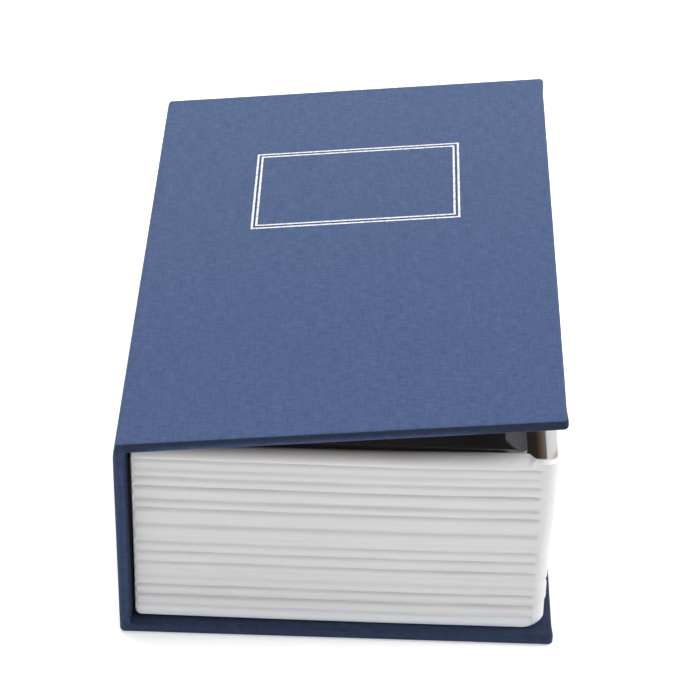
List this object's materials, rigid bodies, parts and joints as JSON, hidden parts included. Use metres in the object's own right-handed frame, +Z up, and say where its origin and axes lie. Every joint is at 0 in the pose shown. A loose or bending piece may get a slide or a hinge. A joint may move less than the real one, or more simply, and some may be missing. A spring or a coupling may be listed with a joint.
{
  "type": "book diversion safe",
  "caption": "Cloth bound book case with a ribbed page block that hides a hinged steel cash box, shown with the front cover standing ajar.",
  "frame": {"origin": "centre of the bounding box at the underside of the back cover, which lies on the table", "axes": "+X from the spine to the fore edge, +Y from the tail to the head of the book, +Z up through the back cover, the page block and the front cover"},
  "size_m": [0.115, 0.18, 0.0734],
  "materials": {
    "book_cloth": "navy book cloth with a fine weave",
    "board": "raw grey binder's board",
    "lining_paper": "black lining paper",
    "page_plastic": "moulded off-white plastic, ribbed like page edges",
    "box_steel": "black powder coat",
    "lid_steel": "black powder coat",
    "zinc_plate": "bright zinc plate",
    "lock_chrome": "polished",
    "wafer_brass": "stamped"
  },
  "bodies": {
    "root": {"spine_board": "board", "spine_cloth": "book_cloth", "spine_lining": "lining_paper", "back_board": "board", "back_cover_cloth": "book_cloth", "back_endpaper": "lining_paper", "page_shell": "page_plastic", "safe_box": "box_steel", "hinge_pin": "zinc_plate", "box_screw_1": "zinc_plate", "box_screw_2": "zinc_plate", "box_screw_3": "zinc_plate", "box_screw_4": "zinc_plate"},
    "front_cover": {"front_board": "board", "front_cover_cloth": "book_cloth", "front_endpaper": "lining_paper"},
    "lid": {"safe_lid": "lid_steel", "lock_body": "lock_chrome", "lock_washer": "zinc_plate", "lock_nut": "zinc_plate"},
    "lock_turning": {"lock_plug": "lock_chrome", "lock_cam": "zinc_plate", "cam_screw": "zinc_plate", "lock_wafer_1": "wafer_brass", "lock_wafer_2": "wafer_brass", "lock_wafer_3": "wafer_brass", "lock_wafer_4": "wafer_brass"}
  },
  "joints": [
    {"name": "cover_hinge", "type": "hinge", "parent": "root", "child": "front_cover", "pos_m": [-0.0575, 0, 0.0616], "axis": [0, -1, 0], "range_deg": [-5.94, 174.06]},
    {"name": "lid_hinge", "type": "hinge", "parent": "root", "child": "lid", "pos_m": [-0.04705, 0, 0.0561], "axis": [0, -1, 0], "range_deg": [-3.57, 104.44]},
    {"name": "lock_turn", "type": "hinge", "parent": "lid", "child": "lock_turning", "pos_m": [0.03037, 0, 0.05251], "axis": [0.0622, 0, -0.9981], "range_deg": [0, 90]}
  ],
  "couplings": [
    {"joint": "lid_hinge", "follows": "cover_hinge", "ratio": 0.6}
  ]
}
